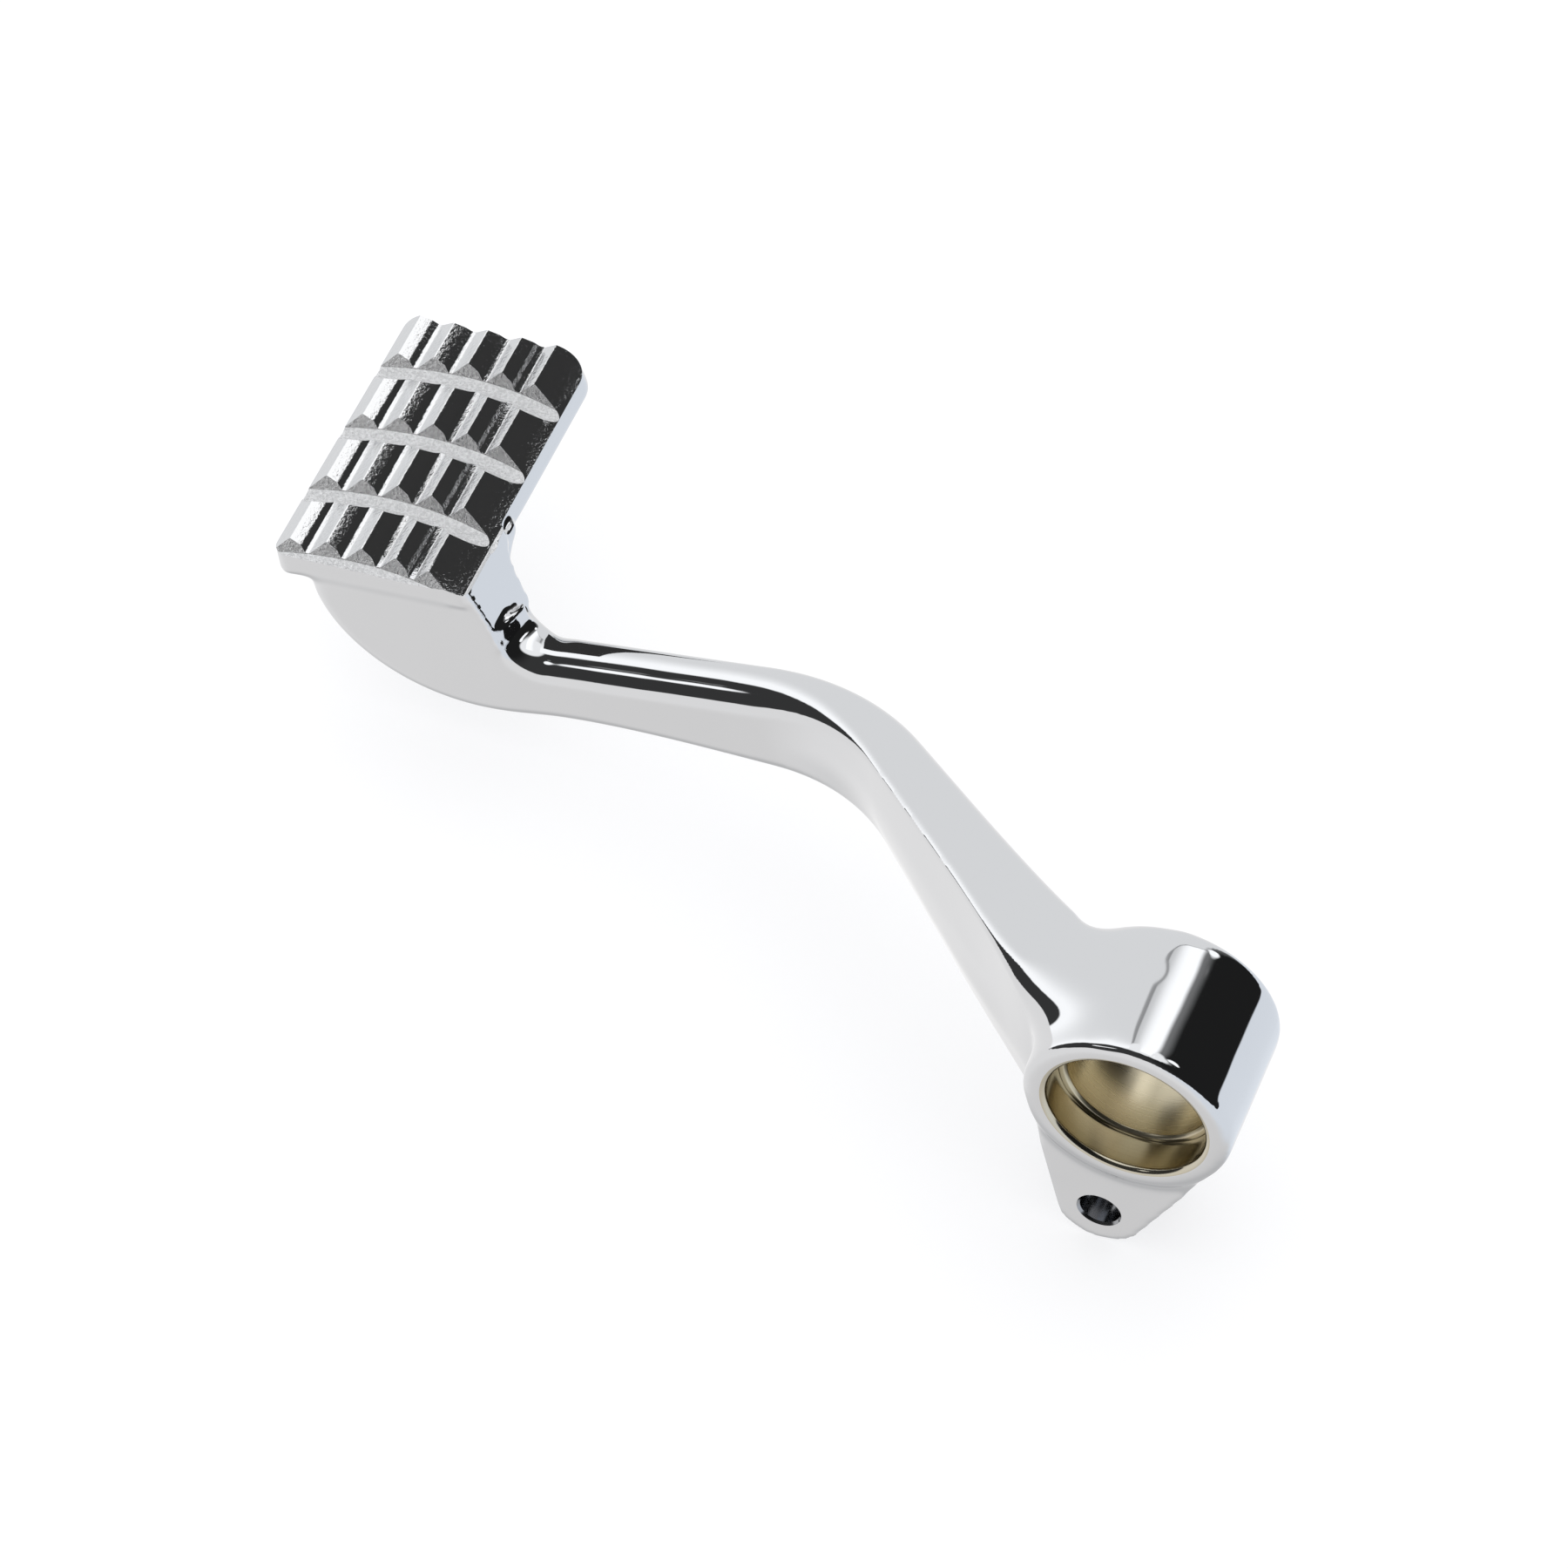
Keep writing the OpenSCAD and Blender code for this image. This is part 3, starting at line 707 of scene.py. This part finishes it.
def bench():
    """A white table lit from within as well, so that shadows on it stay faint."""
    f = Finish("bench")
    return f.metal(
        Base_Color=f.mix(f.noise(3.0), grey(0.31), grey(0.32)), Roughness=0.6,
        Emission_Color=(0.99, 0.99, 1.0, 1), Emission_Strength=0.70)


# The casting and the bushing

def paint(body, name, weight_at):
    """Adds a vertex group whose weights weight_at gives for each place."""
    group = body.vertex_groups.new(name=name)
    for vertex in body.data.vertices:
        weight = weight_at(vertex.co)
        if weight > 0:
            group.add([vertex.index], weight, "REPLACE")


def smoothed(body, turns, group=""):
    apply_modifier(body, "SMOOTH", factor=0.5, iterations=turns, vertex_group=group)


def casting():
    sources = [limb(), boss(), lug(), pad_block(), knuckle(), neck_wall()]
    surfaces = [BVHTree.FromPolygons([v.co.copy() for v in source.data.vertices],
                                     [list(p.vertices) for p in source.data.polygons])
                for source in sources]

    def melt_weight(co):
        """High where two parts meet, so that they run into each other."""
        second = sorted(surface.find_nearest(co)[3] for surface in surfaces)[1]
        weight = ease(1.25 - second / MELT_REACH)
        crisp = 150 < co.x < 166 and co.z > ARM_TOP + 2  # knuckle and back of the neck
        return 0.12 * weight if crisp else weight

    def saddle_weight(co):
        """High on the wide hollow between the top of the arm and the boss."""
        if not (-6 < co.x < 26 and co.z > 7 and abs(co.y) < 16):
            return 0
        apart = max(surface.find_nearest(co)[3] for surface in surfaces[:2])
        inside = (ease((16 - abs(co.y)) / 4) * ease((co.z - 7) / 4)
                  * ease((co.x + 6) / 6) * ease((26 - co.x) / 8))
        return ease(1.3 - apart / SADDLE_REACH) * inside

    body = join("pedal_body", sources)
    apply_modifier(body, "REMESH", mode="VOXEL", voxel_size=VOXEL, use_smooth_shade=True)
    paint(body, "melt", melt_weight)
    smoothed(body, MELT_TURNS, "melt")
    paint(body, "saddle", saddle_weight)
    smoothed(body, SADDLE_TURNS, "saddle")
    smoothed(body, OVERALL_TURNS)
    body.vertex_groups.clear()
    body.data.materials.clear()
    body.data.materials.append(polished_chrome())
    # The groove floors get the lighter, almost unmetallic copy as painted light, and the sloping
    # facets get the greyer copy as painted shade.
    tread = tread_tool(tread_chrome(), cast_chrome("rough plating with painted light", 0.98, 0.1),
                       cast_chrome("rough plating with painted shade", 0.74, 0.9))
    # The bore's plating carries a painted reflection of the bushing in its colour.
    # The slot and the pin hole get plating darkened with painted shade.
    cut(body, join("tools", [tread, bore_tool(bore_chrome_painted_reflection()), lug_tool(recess_chrome_painted_shade())]))
    smooth_shaded(body)
    put_on_bench(body)
    return body


def bushing():
    c, outer = BUSH_CHAMFER, BORE_R - BUSH_PLAY
    ring = turned("bronze_bushing", [
        (SHAFT_R + c, BUSH_FAR_Y, 0), (outer, BUSH_FAR_Y, 0), (outer, BUSH_NEAR_Y, 0),
        (SHAFT_R + c, BUSH_NEAR_Y, 0), (SHAFT_R, BUSH_NEAR_Y - c, 0), (SHAFT_R, BUSH_FAR_Y + c, 0),
        (SHAFT_R + c, BUSH_FAR_Y, 0)])
    apply_modifier(ring, "BEVEL", width=BUSH_EDGE_R, segments=2, limit_method="ANGLE",
                   angle_limit=math.radians(35))
    ring.data.materials.append(bronze())
    smooth_shaded(ring)
    put_on_bench(ring)
    return ring


pedal = casting()
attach(pedal, "root")
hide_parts("pedal_casting")

bush = bushing()
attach(bush, "root")
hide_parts("bushing")


# Bench, studio and cards

low = min(v.co.z for v in pedal.data.vertices)
bpy.ops.mesh.primitive_plane_add(size=6, location=(0, 0, low - 0.0002))
floor = named("bench_top")
floor.data.materials.append(bench())
floor.visible_glossy = False  # the chrome sees the lower half of the studio dome instead


def only_reflected(piece):
    piece.visible_camera = piece.visible_shadow = piece.visible_diffuse = False


def aim(azimuth, elevation):
    a, e = math.radians(azimuth), math.radians(elevation)
    return Vector((math.cos(e) * math.cos(a), math.cos(e) * math.sin(a), math.sin(e)))


LAMPS = (  # direction, radius in degrees, brightness
    (Vector((-0.34, -0.67, 0.66)), 6.5, 1.4), (Vector((-0.53, -0.28, 0.80)), 7.0, 1.4),
    (aim(47, 35), 6.5, 1.4), (aim(38, 41), 3.0, 0.2))


def studio_dome():
    """The studio as the chrome sees it: a light tent outboard, a ceiling, a dark room, a table.

    x, y and z are the direction, forward, inboard and up, so edges are sines of angles."""
    bpy.ops.mesh.primitive_uv_sphere_add(segments=48, ring_count=24, radius=2.5)
    dome = named("studio_dome")
    f = Finish("studio")
    direction = f.node("VectorMath", {"operation": "NORMALIZE"}, _0=f.place)["Vector"]
    x, y, z = f.axes(direction)

    # The tent's side panel grows brighter inboard; behind a thin dark rim stands a bright band
    panel = 0.93 + 0.42 * f.ramp(y, -0.56, -0.06)
    band = 0.80 + 0.64 * f.ramp(x, 0.22, -0.07)
    rim = x - 0.27 - 8.0 * f.math("MINIMUM", y + 0.574, 0.0)
    rim_line = f.ramp(rim, -0.05, -0.015) * (1 - f.ramp(rim, 0.015, 0.05)) * f.ramp(z, 0.45, 0.55)
    ahead = f.ramp(rim, -0.02, 0.02)
    tent = (ahead * panel + (1 - ahead) * band) * (1 - 0.55 * rim_line)
    back_edge = 0.85 * f.ramp(x, -0.29, -0.20) + 0.15 * f.ramp(x, -0.46, -0.29)
    inboard_edge = 1 - f.ramp(y - 0.17 * z, -0.01, 0.05)
    ceiling = 1.15 * f.ramp(z, 0.83, 0.90)
    room = 0.016 + 0.03 * f.ramp(x, -0.4, 0.1)
    level = f.math("MAXIMUM", tent * back_edge * inboard_edge, ceiling)
    level = f.math("MAXIMUM", level, room)
    for towards, radius, brightness in LAMPS:
        near = f.node("VectorMath", {"operation": "DOT_PRODUCT"}, _0=direction,
                      _1=towards.normalized())["Value"]
        spot = f.ramp(near, math.cos(math.radians(radius)), math.cos(math.radians(0.6 * radius)))
        level = f.math("MAXIMUM", level, brightness * spot)
    sky = f.node("CombineXYZ", X=level * 0.99, Y=level, Z=level * 1.012)["Vector"]

    # The table is white, bluish to the back, greyer inboard and in the pedal's own shade
    table = f.mix(f.ramp(x, 0.05, -0.25), (0.96, 0.955, 0.955, 1), (0.88, 0.93, 1.0, 1))
    table = f.mix(f.ramp(y - 0.5 * x, -0.1, 0.7) * f.ramp(z, -0.55, -0.85), table,
                  (0.79, 0.78, 0.775, 1))
    table = f.mix(f.ramp(z, -0.80, -0.97), table, (0.60, 0.60, 0.605, 1))
    dome.data.materials.append(f.glow(f.mix(f.ramp(z, -0.12, -0.085), table, sky), 1.0))
    only_reflected(dome)


def card(name, low, high, z, brightness):
    """A level card that only reflections see."""
    sheet = block(name, (*low, z), (*high, z + 0.0005))
    sheet.data.materials.append(Finish(name).glow(grey(1), brightness))
    only_reflected(sheet)


CARD_Z, CARD_EDGE_X = 0.022, 0.2025  # one height over the pad, and where the two cards meet

studio_dome()
card("black_card_over_pad", (0.166, -0.152), (CARD_EDGE_X, -0.066), CARD_Z, 0.04)
card("white_card_ahead_of_pad", (CARD_EDGE_X, -0.160), (0.225, -0.058), CARD_Z, 1.4)

world = bpy.data.worlds.new("studio")
bpy.context.scene.world = world
world.use_nodes = True
background = world.node_tree.nodes["Background"].inputs
background["Color"].default_value = (0.97, 0.98, 1.0, 1)
background["Strength"].default_value = 1.06


# Camera, fitted to the outlines in the photograph

FOCAL_PIXELS, PHOTO_PIXELS, SENSOR_MM = 7264.79, 1800, 36
EYE_RIGHT, EYE_UP, EYE_BACK = -69.91464, 51.24296, 1200  # mm from the pivot

right = Vector((-0.9293, -0.3694, 0.0)).normalized()
back = Vector((-0.2296, 0.5775, 0.7835)).normalized()
up = back.cross(right)
lens = bpy.data.cameras.new("camera")
lens.sensor_width = SENSOR_MM
lens.lens = SENSOR_MM * FOCAL_PIXELS / PHOTO_PIXELS
lens.clip_end = 20
camera = bpy.data.objects.new("camera", lens)
camera.matrix_world = Matrix((right, up, back)).transposed().to_4x4()
camera.location = (right * EYE_RIGHT + up * EYE_UP + back * EYE_BACK) * 0.001
bpy.context.scene.collection.objects.link(camera)
bpy.context.scene.camera = camera
bpy.context.scene.view_settings.view_transform = "Standard"
